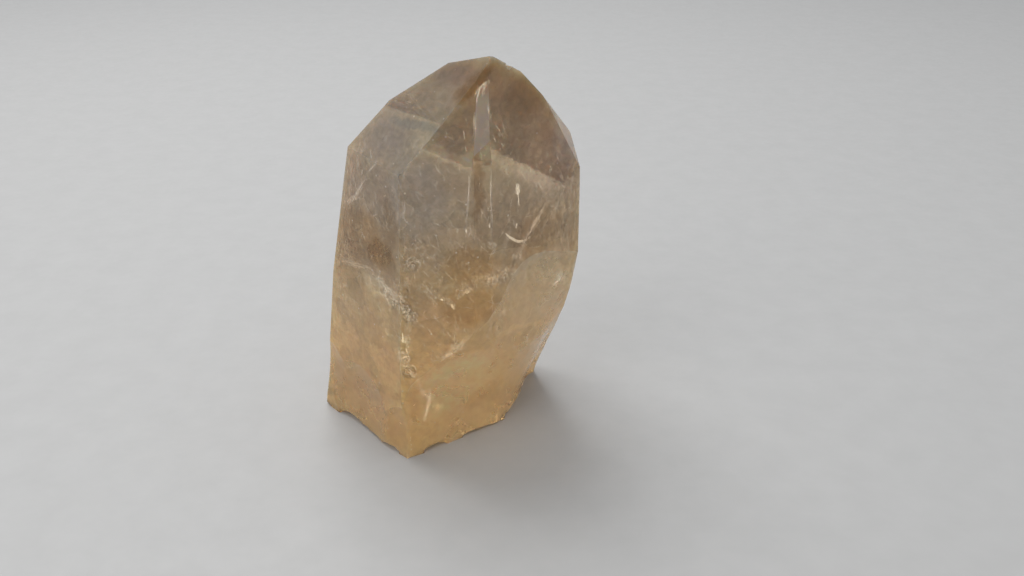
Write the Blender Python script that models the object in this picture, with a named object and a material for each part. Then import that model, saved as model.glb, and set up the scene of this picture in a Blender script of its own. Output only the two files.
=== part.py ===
"""A natural citrine point: one quartz crystal, broken off its rock at the foot.

The crystal starts as a block and is cut down by its growth faces: six upright prism faces with
their steeper and flatter neighbours, and the slanting faces that close the tip. Three rough
surfaces then take away what broke off: the right flank, a thin spall low on the left face, and
the chipped rim of the foot. The middle of the foot stays flat, and the crystal stands on it.

Lengths are in millimetres and angles in degrees. The origin is at the middle of the foot.
"""
import math
import random

import bmesh
import bpy
from mathutils import Matrix, Vector, noise

MM = 0.001                      # metres in a millimetre
BLOCK = 200.0                   # side of the block that the crystal is cut from
TO_MIDDLE = (-0.14, 0.03, 0.0)  # brings the middle of the width and depth over the origin

# Each growth face: its azimuth, from the front (-Y) round towards +X; its steepness, 90 for an
# upright face and 0 for a level one; and its distance from the origin.
PRISM_FACES = (
    (-111.0, 76.0, 24.2),       # back left, leaning in towards the tip
    (-110.5, 81.0, 22.1),       # the same face lower down, nearer to upright
    (-50.0, 88.5, 16.6),        # broad left face
    (6.0, 90.0, 16.3),          # broad front face
    (24.0, 90.0, 16.8),         # narrow face between the two front ones
    (45.0, 90.0, 16.4),         # broad right face
    (118.0, 90.0, 20.8),        # back right
    (-176.0, 90.0, 16.0),       # back
)
STEEP_FACES = (                 # the front faces again, a few degrees off upright near the tip
    (7.5, 86.5, 19.7),
    (22.0, 87.5, 19.2),
    (46.0, 88.0, 18.2),
)
TIP_FACES = (
    (-47.0, 54.5, 43.1),        # large slanting face over the left face
    (-118.5, 51.5, 41.1),
    (-139.0, 37.5, 48.8),
    (180.0, 25.0, 57.6),        # flat cap behind the apex
    (150.5, 30.5, 56.5),
    (160.0, 49.5, 42.3),        # broad slanting face at the back
    (120.5, 44.5, 52.1),
    (89.5, 61.0, 44.6),
    (81.5, 68.5, 38.9),         # sliver down the right edge of the tip
)

# Broken surfaces are cut with rough blocks. A hollow is a shell-shaped dent in such a surface:
# its place along and up the surface, its depth and its reach. Ridges stay between hollows.
GRAIN = 0.95                    # spacing of the points on a broken surface
CUTTER_DEPTH = 45.0             # thickness of the rough blocks
COARSE = 6.0                    # size of the larger unevenness of a break
FINE = 2.2                      # size of the smaller unevenness

# The broken right flank, seen square on: how far it stands from the origin along its azimuth.
# Rows go up the crystal, columns go from the front corner round to the back.
FLANK_AZIMUTH = 50.0
FLANK_MIDDLE = (0.0, 20.5)
FLANK_SIZE = (46.0, 43.0)
FLANK_ALONG = (-19.4, -12.0, -4.6, 2.8, 10.2, 19.0)
FLANK_UP = (0.0, 8.4, 16.8, 25.2, 33.6, 42.0)
FLANK_STAND_OFF = (
    (5.2, 7.4, 9.4, 10.8, 8.8, 3.4),
    (5.9, 8.5, 11.2, 12.4, 11.7, 7.8),
    (6.4, 9.9, 13.2, 14.4, 14.2, 12.0),
    (9.3, 13.6, 15.7, 16.5, 16.8, 16.2),
    (14.0, 17.5, 17.2, 17.0, 18.1, 19.0),
    (20.0, 20.0, 20.0, 20.0, 20.5, 21.0),
)
FLANK_HOLLOWS = (
    (7.0, 27.5, 1.1, 12.5),
    (-5.0, 8.5, 1.0, 12.0),
    (9.0, 7.0, 1.1, 11.0),
    (-15.0, 9.5, 0.8, 7.5),
)
FLANK_ROUGHNESS = 0.14

SPALL_AZIMUTH = -50.0
SPALL_STEEPNESS = 88.5
SPALL_MIDDLE = (0.0, 9.0)
SPALL_SIZE = (44.0, 24.0)
SPALL_STAND_OFF = 16.7          # just outside the left face, so only the hollows cut it
SPALL_HOLLOWS = (
    (-4.5, 4.0, 0.9, 9.5),
    (10.0, 3.0, 1.5, 7.5),
    (-14.5, 8.0, 0.6, 6.5),
)
SPALL_ROUGHNESS = 0.06          # share of the depth

FOOT_SIZE = (56.0, 44.0)
FOOT_CLEARANCE = 0.5            # how far the block stays below the flat of the foot
FLANK_AT_FOOT = 7.5             # how far the flank stands out down at the rim
RIM_CHIPS = 23                  # flakes gone from the rim of the foot
RIM_SEED = 11
RIM_CHIP_DEPTH = (0.2, 0.8)
RIM_CHIP_REACH = (1.6, 4.0)
RIM_CHIP_STRAY = 0.3            # share of the spacing that a flake may be off its place
RIM_ROUGHNESS = 0.10            # share of the depth


def face_normal(azimuth, steepness=90.0):
    """The outward direction of a face."""
    turn = math.radians(azimuth)
    tilt = math.radians(steepness)
    level = math.sin(tilt)
    return Vector((math.sin(turn) * level, -math.cos(turn) * level, math.cos(tilt)))


def cut_face(bm, normal, distance):
    """Cut away everything beyond one growth face, and close the cut."""
    cut = bmesh.ops.bisect_plane(
        bm,
        geom=bm.verts[:] + bm.edges[:] + bm.faces[:],
        plane_co=normal * distance,
        plane_no=normal,
        clear_outer=True,
    )
    rim = [item for item in cut["geom_cut"] if isinstance(item, bmesh.types.BMEdge)]
    if rim:
        bmesh.ops.contextual_create(bm, geom=rim)


def grown_crystal():
    """The whole crystal before it broke, standing on the level of its foot."""
    bm = bmesh.new()
    bmesh.ops.create_cube(bm, size=BLOCK)
    for azimuth, steepness, distance in PRISM_FACES + STEEP_FACES + TIP_FACES:
        cut_face(bm, face_normal(azimuth, steepness), distance)
    cut_face(bm, Vector((0.0, 0.0, -1.0)), 0.0)
    bmesh.ops.recalc_face_normals(bm, faces=bm.faces[:])
    return bm


def between(values, stations, place):
    """A smooth value between stations, by a cubic through the four nearest."""
    last = len(stations) - 1
    place = min(max(place, stations[0]), stations[last])
    step = 0
    while step < last - 1 and place > stations[step + 1]:
        step += 1
    share = (place - stations[step]) / (stations[step + 1] - stations[step])
    before = values[max(step - 1, 0)]
    start = values[step]
    end = values[step + 1]
    after = values[min(step + 2, last)]
    bend = 2.0 * before - 5.0 * start + 4.0 * end - after
    twist = 3.0 * (start - end) + after - before
    return start + 0.5 * share * (end - before + share * (bend + share * twist))


def hollow_depth(hollows, along, up):
    """How deep the shell-shaped hollows are at one place."""
    depths = [0.0]
    for middle, height, depth, reach in hollows:
        distance = math.hypot(along - middle, up - height)
        depths.append(depth * (1.0 - (distance / reach) ** 2))
    return max(depths)


def crumple(along, up, layer):
    """An uneven surface between -1 and 1, coarse and fine together."""
    coarse = noise.noise(Vector((along / COARSE, up / COARSE, layer)))
    fine = noise.noise(Vector((along / FINE, up / FINE, layer + 50.0)))
    return 0.65 * coarse + 0.35 * fine


def flank_surface(along, up):
    rows = [between(row, FLANK_ALONG, along) for row in FLANK_STAND_OFF]
    stand_off = between(rows, FLANK_UP, up)
    depth = hollow_depth(FLANK_HOLLOWS, along, up)
    return stand_off - depth + FLANK_ROUGHNESS * crumple(along, up, 3.0)


def spall_surface(along, up):
    depth = hollow_depth(SPALL_HOLLOWS, along, up)
    return SPALL_STAND_OFF - depth * (1.0 + SPALL_ROUGHNESS * crumple(along, up, 7.0))


def foot_edge(turn):
    """Where a level ray from the middle of the foot meets the rim of the foot."""
    ray = Vector((math.cos(turn), math.sin(turn)))
    sides = [(azimuth, distance) for azimuth, steepness, distance in PRISM_FACES]
    sides.append((FLANK_AZIMUTH, FLANK_AT_FOOT))
    reaches = []
    for azimuth, distance in sides:
        facing = face_normal(azimuth).xy.dot(ray)
        if facing > 0.01:
            reaches.append(distance / facing)
    return ray * min(reaches)


def rim_hollows():
    """Flakes of random size, spread around the rim of the foot."""
    dice = random.Random(RIM_SEED)
    hollows = []
    for number in range(RIM_CHIPS):
        stray = dice.uniform(-RIM_CHIP_STRAY, RIM_CHIP_STRAY)
        edge = foot_edge(2.0 * math.pi * (number + stray) / RIM_CHIPS)
        depth = dice.uniform(*RIM_CHIP_DEPTH)
        reach = dice.uniform(*RIM_CHIP_REACH)
        hollows.append((edge.x, -edge.y, depth, reach))
    return hollows


RIM_HOLLOWS = rim_hollows()


def foot_surface(along, up):
    depth = hollow_depth(RIM_HOLLOWS, along, up)
    if depth == 0.0:
        return FOOT_CLEARANCE
    return -depth * (1.0 + RIM_ROUGHNESS * crumple(along, up, 13.0))


def surface_frame(azimuth, steepness=90.0):
    """Axes of a steep surface: along it to the right, up it, and outwards."""
    outward = face_normal(azimuth, steepness)
    along = Vector((0.0, 0.0, 1.0)).cross(outward).normalized()
    upward = outward.cross(along)
    return Matrix((along, upward, outward)).transposed().to_4x4()


def rough_block(name, frame, middle, size, surface):
    """A closed block whose inner side is a rough surface over its own X and Y."""
    bm = bmesh.new()
    cells = [round(length / GRAIN) for length in size]
    bmesh.ops.create_grid(bm, x_segments=cells[0], y_segments=cells[1], size=0.5)
    for vert in bm.verts:
        along = middle[0] + vert.co.x * size[0]
        up = middle[1] + vert.co.y * size[1]
        vert.co = Vector((along, up, surface(along, up)))
    outer = bmesh.ops.extrude_face_region(bm, geom=bm.faces[:])
    moved = [item for item in outer["geom"] if isinstance(item, bmesh.types.BMVert)]
    bmesh.ops.translate(bm, verts=moved, vec=(0.0, 0.0, CUTTER_DEPTH))
    bmesh.ops.triangulate(bm, faces=bm.faces[:])
    bmesh.ops.recalc_face_normals(bm, faces=bm.faces[:])
    bm.transform(frame)
    block = make_object(name, bm)
    block.hide_render = True
    block.display_type = "WIRE"
    return block


def make_object(name, bm):
    """Put a mesh built in millimetres into the scene in metres."""
    bmesh.ops.translate(bm, verts=bm.verts[:], vec=TO_MIDDLE)
    bm.transform(Matrix.Scale(MM, 4))
    mesh = bpy.data.meshes.new(name)
    bm.to_mesh(mesh)
    bm.free()
    made = bpy.data.objects.new(name, mesh)
    bpy.context.scene.collection.objects.link(made)
    return made


def break_off(crystal, block):
    """Take away what lies beyond a rough surface."""
    modifier = crystal.modifiers.new(block.name, "BOOLEAN")
    modifier.operation = "DIFFERENCE"
    modifier.solver = "EXACT"
    modifier.object = block


def citrine():
    material = bpy.data.materials.new("citrine")
    material.use_nodes = True
    shader = material.node_tree.nodes["Principled BSDF"]
    shader.inputs["Base Color"].default_value = (0.56, 0.44, 0.32, 1.0)
    shader.inputs["Roughness"].default_value = 0.08
    shader.inputs["Metallic"].default_value = 0.0
    shader.inputs["IOR"].default_value = 1.544
    shader.inputs["Transmission Weight"].default_value = 1.0
    return material


for old in list(bpy.data.objects):
    bpy.data.objects.remove(old, do_unlink=True)

crystal_point = make_object("crystal_point", grown_crystal())
crystal_point.data.materials.append(citrine())

flank_frame = surface_frame(FLANK_AZIMUTH)
spall_frame = surface_frame(SPALL_AZIMUTH, SPALL_STEEPNESS)
foot_frame = Matrix.Rotation(math.pi, 4, "X")
breaks = (
    rough_block("flank_break", flank_frame, FLANK_MIDDLE, FLANK_SIZE, flank_surface),
    rough_block("left_spall", spall_frame, SPALL_MIDDLE, SPALL_SIZE, spall_surface),
    rough_block("foot_chips", foot_frame, (0.0, 0.0), FOOT_SIZE, foot_surface),
)
for rough in breaks:
    break_off(crystal_point, rough)
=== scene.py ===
import math
import random

import bmesh
import bpy
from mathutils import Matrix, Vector, noise
from mathutils.kdtree import KDTree


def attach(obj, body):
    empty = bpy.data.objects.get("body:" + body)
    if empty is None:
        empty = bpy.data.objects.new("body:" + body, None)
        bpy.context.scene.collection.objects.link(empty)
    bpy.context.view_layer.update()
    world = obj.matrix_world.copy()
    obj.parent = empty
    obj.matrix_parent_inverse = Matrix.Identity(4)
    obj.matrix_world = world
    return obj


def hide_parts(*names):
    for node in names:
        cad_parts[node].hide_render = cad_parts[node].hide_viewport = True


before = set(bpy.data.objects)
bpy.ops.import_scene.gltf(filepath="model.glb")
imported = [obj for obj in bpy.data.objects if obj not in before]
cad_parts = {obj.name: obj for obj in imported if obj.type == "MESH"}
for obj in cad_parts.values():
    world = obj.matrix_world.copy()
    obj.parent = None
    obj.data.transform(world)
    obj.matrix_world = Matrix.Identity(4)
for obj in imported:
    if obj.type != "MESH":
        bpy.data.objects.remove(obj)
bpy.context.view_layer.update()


# ------------------------------------------------------------------ crystal
# One quartz crystal, smoky at the point and honey below, hazy enough to glow and clear enough
# to look into.  The faces are grown flat and bright; the flank, the lower left and the foot were
# broken when it was knocked off its rock, and there the stone is rippled and frosted.
MM = 0.001
scene = bpy.context.scene

MERGE_GAP = 1e-7
FACET_ANGLE = math.radians(0.4)     # facets closer than this are parts of one grown face
EDGE_ANGLE = math.radians(8.0)      # grown faces that meet at more than this have their edge eased
SAME_FACING = 0.9998
PLANE_SLACK = 0.004 * MM
PLANE_AREA = 4.0 * MM * MM          # a larger face is a grown one, and so is any face above:
TIP_HEIGHT = 55.0 * MM
FOOT_FACING = -0.9
BROKEN = -1
ROUNDED = -2
EDGE_ROUND = 0.10 * MM
CHIP_LUMP = 0.5 * MM
CHIP_WOBBLE = 0.12
CHIPS = (
    # middle and radius in mm of each chip knocked off an edge or a corner
    ((11.3, -11.1, 68.0), 0.75),
    ((8.6, -14.0, 70.0), 0.55),
    ((2.6, -15.9, 62.3), 0.35),
    ((-5.9, -17.3, 45.0), 0.35),
    ((-6.3, -17.3, 30.5), 0.4),
    ((14.5, 17.3, 31.7), 0.65),
    ((14.5, 17.3, 36.6), 0.5),
    ((-16.6, 15.0, 11.0), 0.7),
)


def make_piece(name, mesh, material):
    """A piece of the scene: a mesh in its place, all of one material."""
    mesh.materials.append(material)
    piece = bpy.data.objects.new(name, mesh)
    scene.collection.objects.link(piece)
    return piece


def mesh_of(name, work):
    """Turns a finished work mesh into a plain mesh."""
    mesh = bpy.data.meshes.new(name)
    work.to_mesh(mesh)
    work.free()
    return mesh


def chip_tool(chips, seed):
    """Small rough balls, one on each bruised spot of an edge, as one cutter."""
    luck = random.Random(seed)
    work = bmesh.new()
    for spot, radius in chips:
        ball = bmesh.ops.create_icosphere(work, subdivisions=2, radius=radius * MM)["verts"]
        stretch = Vector([luck.uniform(0.6, 1.4) for _ in range(3)])
        shift = Vector(spot) * MM
        for vert in ball:
            wobble = 1.0 + CHIP_WOBBLE * noise.noise(vert.co / CHIP_LUMP + shift / MM)
            vert.co = Vector([a * b for a, b in zip(vert.co, stretch)]) * wobble + shift
    return mesh_of("chips", work)


def knock_off(whole, tool):
    """The whole mesh with the tool's shape cut away."""
    blank = bpy.data.objects.new("blank", whole)
    cutter = bpy.data.objects.new("cutter", tool)
    scene.collection.objects.link(blank)
    scene.collection.objects.link(cutter)
    knock = blank.modifiers.new("knock", "BOOLEAN")
    knock.operation = "DIFFERENCE"
    knock.solver = "EXACT"
    knock.object = cutter
    graph = bpy.context.evaluated_depsgraph_get()
    chipped = bpy.data.meshes.new_from_object(blank.evaluated_get(graph))
    bpy.data.objects.remove(blank)
    bpy.data.objects.remove(cutter)
    return chipped


def flat_planes(work):
    """The planes of the grown faces and of the flat foot."""
    planes = []
    for face in work.faces:
        middle = face.calc_center_median()
        if face.calc_area() > PLANE_AREA or middle.z > TIP_HEIGHT:
            planes.append((face.normal.copy(), face.normal.dot(middle)))
    return planes


def plane_of(face):
    """The number of the plane that a face lies in, or BROKEN."""
    middle = face.calc_center_median()
    for number, (normal, reach) in enumerate(planes):
        if face.normal.dot(normal) > SAME_FACING and abs(normal.dot(middle) - reach) < PLANE_SLACK:
            return number
    return BROKEN


def broken(face):
    return face[plane_mark] == BROKEN


def grown_edges(work):
    """The edges between two grown faces, without those of the flat foot."""
    found = []
    for edge in work.edges:
        one, two = edge.link_faces
        if broken(one) or broken(two) or one[plane_mark] == two[plane_mark]:
            continue
        if edge.calc_face_angle(0.0) > EDGE_ANGLE and min(one.normal.z, two.normal.z) > FOOT_FACING:
            found.append(edge)
    return found


work = bmesh.new()
work.from_mesh(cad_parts["crystal_point"].data)
bmesh.ops.remove_doubles(work, verts=work.verts[:], dist=MERGE_GAP)
bmesh.ops.dissolve_limit(work, angle_limit=FACET_ANGLE, verts=work.verts[:], edges=work.edges[:])
planes = flat_planes(work)
chipped = knock_off(mesh_of("whole", work), chip_tool(CHIPS, seed=11))

work = bmesh.new()
work.from_mesh(chipped)
bmesh.ops.remove_doubles(work, verts=work.verts[:], dist=MERGE_GAP)
plane_mark = work.faces.layers.int.new("plane")
for face in work.faces:
    face[plane_mark] = plane_of(face)
rounded = bmesh.ops.bevel(
    work, geom=grown_edges(work), offset=EDGE_ROUND, segments=2, profile=0.5,
    affect="EDGES", clamp_overlap=True,
)["faces"]
for face in work.faces:
    face[plane_mark] = plane_of(face)
for face in rounded:
    if broken(face):
        face[plane_mark] = ROUNDED

# The broken faces are cut finer, so that their relief is real.
BROKEN_GRAIN = 0.55 * MM
SETTLE_ROUNDS = 5
SETTLE_SHARE = 0.5
RIM_SHARE = 0.3
FOOT_HEIGHT = 0.02 * MM
LIFTED_HEIGHT = 0.05 * MM           # the foot itself stays flat
BREAK_CENTRE = Vector((24.0, 2.0, 34.0)) * MM
RIPPLE_LENGTH = 2.4 * MM
RIPPLE_HEIGHT = 0.020 * MM
RIPPLE_BEND = 1.6 * MM
BEND_LENGTH = 7.0 * MM
FADE_LENGTH = 9.0 * MM
FADE_SHIFT = Vector((5.0, 1.0, 2.0))
COARSE_HEIGHT = 0.05 * MM
COARSE_LENGTH = 2.6 * MM
FINE_HEIGHT = 0.009 * MM
FINE_LENGTH = 1.1 * MM
KINK_ROUNDS = 6
KINK_SHARE = 0.6
KINK_ANGLE = math.radians(14.0)
KINK_LENGTH = 0.8 * BROKEN_GRAIN


def cut_finer(work, rounds):
    """Halves the long edges of the broken faces and leaves them all triangles."""
    for number in range(rounds):
        long_edges = []
        for edge in work.edges:
            if edge.calc_length() > BROKEN_GRAIN and any(map(broken, edge.link_faces)):
                long_edges.append(edge)
        bmesh.ops.subdivide_edges(work, edges=long_edges, cuts=1, use_grid_fill=True)
        leftovers = [face for face in work.faces if broken(face) and len(face.verts) > 3]
        bmesh.ops.triangulate(work, faces=leftovers)


def toward_neighbours(vert, share):
    """A step part of the way to the middle of the points round a point."""
    near = [edge.other_vert(vert).co for edge in vert.link_edges]
    return (sum(near, Vector()) / len(near) - vert.co) * share


def settle_broken(work, flats):
    """Rounds the cut facets of the broken faces off, and keeps each rim in its grown face's plane."""
    for number in range(SETTLE_ROUNDS):
        moves = []
        for vert in work.verts:
            if len(flats[vert]) == 0:
                moves.append((vert, toward_neighbours(vert, SETTLE_SHARE)))
            elif len(flats[vert]) == 1:
                rim = [edge.other_vert(vert) for edge in vert.link_edges
                       if sum(map(broken, edge.link_faces)) == 1]
                if len(rim) == 2 and vert.co.z > FOOT_HEIGHT and flats[vert][0] != ROUNDED:
                    moves.append((vert, ((rim[0].co + rim[1].co) / 2 - vert.co) * RIM_SHARE))
        for vert, move in moves:
            vert.co += move
    work.normal_update()


def ripple(point):
    """Height of the shell-like waves and fine grain of broken quartz at a point."""
    reach = (point - BREAK_CENTRE).length
    bend = RIPPLE_BEND * noise.noise(point / BEND_LENGTH)
    wave = math.sin((reach + bend) / RIPPLE_LENGTH * 2 * math.pi)
    faded = 0.35 + 0.65 * max(0.0, noise.noise(point / FADE_LENGTH + FADE_SHIFT) + 0.4)
    coarse = COARSE_HEIGHT * noise.noise(point / COARSE_LENGTH)
    fine = FINE_HEIGHT * noise.noise(point / FINE_LENGTH)
    return RIPPLE_HEIGHT * wave * faded + (coarse + fine)


def raise_ripples(work, flats):
    """Moves the broken faces out and in by the ripples, their rims only along the grown faces."""
    moves = []
    for vert in work.verts:
        if len(flats[vert]) < 2 and vert.co.z > LIFTED_HEIGHT and ROUNDED not in flats[vert]:
            slopes = [face.normal for face in vert.link_faces if broken(face)]
            if not slopes:
                continue
            out = sum(slopes, Vector()).normalized()
            for number in flats[vert]:
                normal = planes[number][0]
                out -= normal * normal.dot(out)
            moves.append((vert, out * ripple(vert.co)))
    for vert, move in moves:
        vert.co += move
    work.normal_update()


def calm_kinks(work, flats):
    """Smooths the spots of the broken faces where small facets have folded over one another."""
    for number in range(KINK_ROUNDS):
        kinked = {}
        for edge in work.edges:
            if edge.calc_face_angle(0.0) < KINK_ANGLE or edge.calc_length() > KINK_LENGTH:
                continue
            if all(map(broken, edge.link_faces)):
                for vert in edge.verts:
                    for near in vert.link_edges:
                        kinked[near.other_vert(vert)] = True
        moves = [(vert, toward_neighbours(vert, KINK_SHARE)) for vert in kinked if len(flats[vert]) == 0]
        for vert, move in moves:
            vert.co += move
        work.normal_update()


bmesh.ops.triangulate(work, faces=[face for face in work.faces if broken(face)])
cut_finer(work, rounds=2)
flats = {}
for vert in work.verts:
    flats[vert] = sorted(set(face[plane_mark] for face in vert.link_faces if not broken(face)))
settle_broken(work, flats)
raise_ripples(work, flats)
calm_kinks(work, flats)

# Marks for the material: which faces are grown, broken, worn or the pale one, and the rims.
PALE_FACING = Vector((0.374, -0.926, 0.044))
PALE_SLACK = 0.9995
RIM_WIDTH = 0.7 * MM
marks = {}
for name in ("broken", "grown", "worn", "pale"):
    marks[name] = work.faces.layers.float.new(name)
for face in work.faces:
    face[marks["pale"]] = 1.0 if face.normal.dot(PALE_FACING) > PALE_SLACK else 0.0
    face[marks["broken"]] = 1.0 if broken(face) else 0.0
    face[marks["grown"]] = 0.0 if broken(face) else 1.0
    face[marks["worn"]] = 1.0 if face[plane_mark] == ROUNDED else 0.0
    face.smooth = face[plane_mark] < 0
rim_mark = work.verts.layers.float.new("rim")
rim_verts = [vert for vert in work.verts if len(set(map(broken, vert.link_faces))) == 2]
rim_tree = KDTree(len(rim_verts))
for number, vert in enumerate(rim_verts):
    rim_tree.insert(vert.co, number)
rim_tree.balance()
for vert in work.verts:
    vert[rim_mark] = max(0.0, 1.0 - rim_tree.find(vert.co)[2] / RIM_WIDTH)

# Cutting and rounding leave points and faces in any order; this one is the same on every run.
ORDER_WAY = Vector((0.51, 0.29, 0.81))
work.verts.sort(key=lambda vert: vert.co.dot(ORDER_WAY))
work.faces.sort(key=lambda face: face.calc_center_median().dot(ORDER_WAY))
crystal_mesh = mesh_of("crystal", work)

# The nodes that every material is built from.
NODES_A_ROW = 12
NODE_STEP = (220, -320)
VECTOR = "NodeSocketVector"
NUMBER = "NodeSocketFloat"


def place(tree, kind, inputs=None, **settings):
    """Adds a node; each of its named inputs takes a value or another node's output."""
    made = tree.nodes.new(kind)
    row, column = divmod(len(tree.nodes), NODES_A_ROW)
    made.location = (column * NODE_STEP[0], row * NODE_STEP[1])
    for name, value in settings.items():
        setattr(made, name, value)
    for name, value in (inputs or {}).items():
        feed(tree, made.inputs[name], value)
    return made


def feed(tree, socket, value):
    """Links an input to another node's output, or sets its value."""
    if isinstance(value, bpy.types.NodeSocket):
        tree.links.new(value, socket)
    elif socket.type == "RGBA":
        socket.default_value = (*value, 1.0)
    else:
        socket.default_value = value


def new_group(name, numbers, outputs):
    """A node group that reads a position and some numbers, and the outputs of its first node."""
    group = bpy.data.node_groups.new(name, "ShaderNodeTree")
    group.interface.new_socket(name="Position", in_out="INPUT", socket_type=VECTOR)
    for label, value in numbers.items():
        kind = VECTOR if isinstance(value, tuple) else NUMBER
        group.interface.new_socket(name=label, in_out="INPUT", socket_type=kind).default_value = value
    for label in outputs:
        group.interface.new_socket(name=label, in_out="OUTPUT", socket_type=NUMBER)
    return group, place(group, "NodeGroupInput").outputs


def reckon(tree, operation, one, two):
    """One sum on two numbers, each a value or another node's output."""
    return place(tree, "ShaderNodeMath", {0: one, 1: two}, operation=operation).outputs[0]


def product(tree, first, *others):
    """The numbers multiplied together, one after another."""
    for other in others:
        first = reckon(tree, "MULTIPLY", first, other)
    return first


def blend(tree, share, below, above, kind="MIX"):
    """Lays one colour over another by a share."""
    inputs = {0: share, 6: below, 7: above}
    return place(tree, "ShaderNodeMix", inputs, data_type="RGBA", blend_type=kind).outputs[2]


def fade(tree, value, start, end, low=0.0, high=1.0):
    """A smooth rise from low at the start to high at the end."""
    inputs = {"Value": value, "From Min": start, "From Max": end, "To Min": low, "To Max": high}
    return place(tree, "ShaderNodeMapRange", inputs, interpolation_type="SMOOTHSTEP").outputs["Result"]


def mottle_group():
    """Soft blotches: a cloud pattern stretched between two values."""
    numbers = {"Scale": 100.0, "Detail": 3.0, "Distortion": 0.0, "Low": 0.0, "High": 1.0}
    group, given = new_group("mottle", numbers, ("Amount",))
    cloud = place(group, "ShaderNodeTexNoise", {
        "Vector": given["Position"], "Scale": given["Scale"],
        "Detail": given["Detail"], "Distortion": given["Distortion"],
    })
    stretch = place(group, "ShaderNodeMapRange", {
        "Value": cloud.outputs["Fac"], "From Min": 0.32, "From Max": 0.68,
        "To Min": given["Low"], "To Max": given["High"],
    })
    place(group, "NodeGroupOutput", {"Amount": stretch.outputs["Result"]})
    return group


def mottle(tree, position, scale, low, high, detail=3.0, distortion=0.0):
    inputs = {"Position": position, "Scale": scale, "Low": low, "High": high,
              "Detail": detail, "Distortion": distortion}
    return place(tree, "ShaderNodeGroup", inputs, node_tree=MOTTLE).outputs["Amount"]


def zone_group():
    """1 inside an oval zone of the stone, fading to 0 across its border."""
    numbers = {"Centre": (0.0, 0.0, 0.0), "Reach": (1.0, 1.0, 1.0), "Turn": 0.0, "Border": 1.0}
    group, given = new_group("zone", numbers, ("Inside",))
    turn = place(group, "ShaderNodeCombineXYZ", {"Y": given["Turn"]})
    fitted = place(group, "ShaderNodeMapping", {
        "Vector": given["Position"], "Location": given["Centre"],
        "Rotation": turn.outputs["Vector"], "Scale": given["Reach"],
    }, vector_type="TEXTURE")
    oval = {"Vector": fitted.outputs["Vector"]}
    ball = place(group, "ShaderNodeTexGradient", oval, gradient_type="SPHERICAL")
    place(group, "NodeGroupOutput", {"Inside": fade(group, ball.outputs["Fac"], 0.0, given["Border"])})
    return group


def crackle_group():
    """Crazing: angular patches of slightly different tone that are painted reflections of the cracks
    inside, and the fine cracks between them.
    """
    numbers = {"Scale": 100.0, "Low": 0.0, "High": 1.0, "Line Width": 0.1}
    group, given = new_group("crackle", numbers, ("Tone", "Line"))
    pattern = {"Vector": given["Position"], "Scale": given["Scale"]}
    cells = place(group, "ShaderNodeTexVoronoi", pattern, feature="F1")
    rims = place(group, "ShaderNodeTexVoronoi", pattern, feature="DISTANCE_TO_EDGE")
    parts = place(group, "ShaderNodeSeparateColor", {"Color": cells.outputs["Color"]})
    tone = place(group, "ShaderNodeMapRange", {
        "Value": parts.outputs["Red"], "To Min": given["Low"], "To Max": given["High"],
    })
    line = fade(group, rims.outputs["Distance"], 0.0, given["Line Width"], low=1.0, high=0.0)
    place(group, "NodeGroupOutput", {"Tone": tone.outputs["Result"], "Line": line})
    return group


def dust_group():
    """Loose specks: a small round dot in some cells of a random pattern."""
    group, given = new_group("dust", {"Scale": 100.0, "Empty Share": 0.5, "Size": 0.2}, ("Speck",))
    cells = place(group, "ShaderNodeTexVoronoi", {"Vector": given["Position"], "Scale": given["Scale"]})
    parts = place(group, "ShaderNodeSeparateColor", {"Color": cells.outputs["Color"]})
    kept = reckon(group, "GREATER_THAN", parts.outputs["Red"], given["Empty Share"])
    dot = fade(group, cells.outputs["Distance"], 0.0, given["Size"], low=1.0, high=0.0)
    place(group, "NodeGroupOutput", {"Speck": product(group, dot, kept)})
    return group


def dust(tree, position, scale, empty_share, size):
    inputs = {"Position": position, "Scale": scale, "Empty Share": empty_share, "Size": size}
    return place(tree, "ShaderNodeGroup", inputs, node_tree=DUST).outputs["Speck"]


MOTTLE = mottle_group()
DUST = dust_group()

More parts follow.
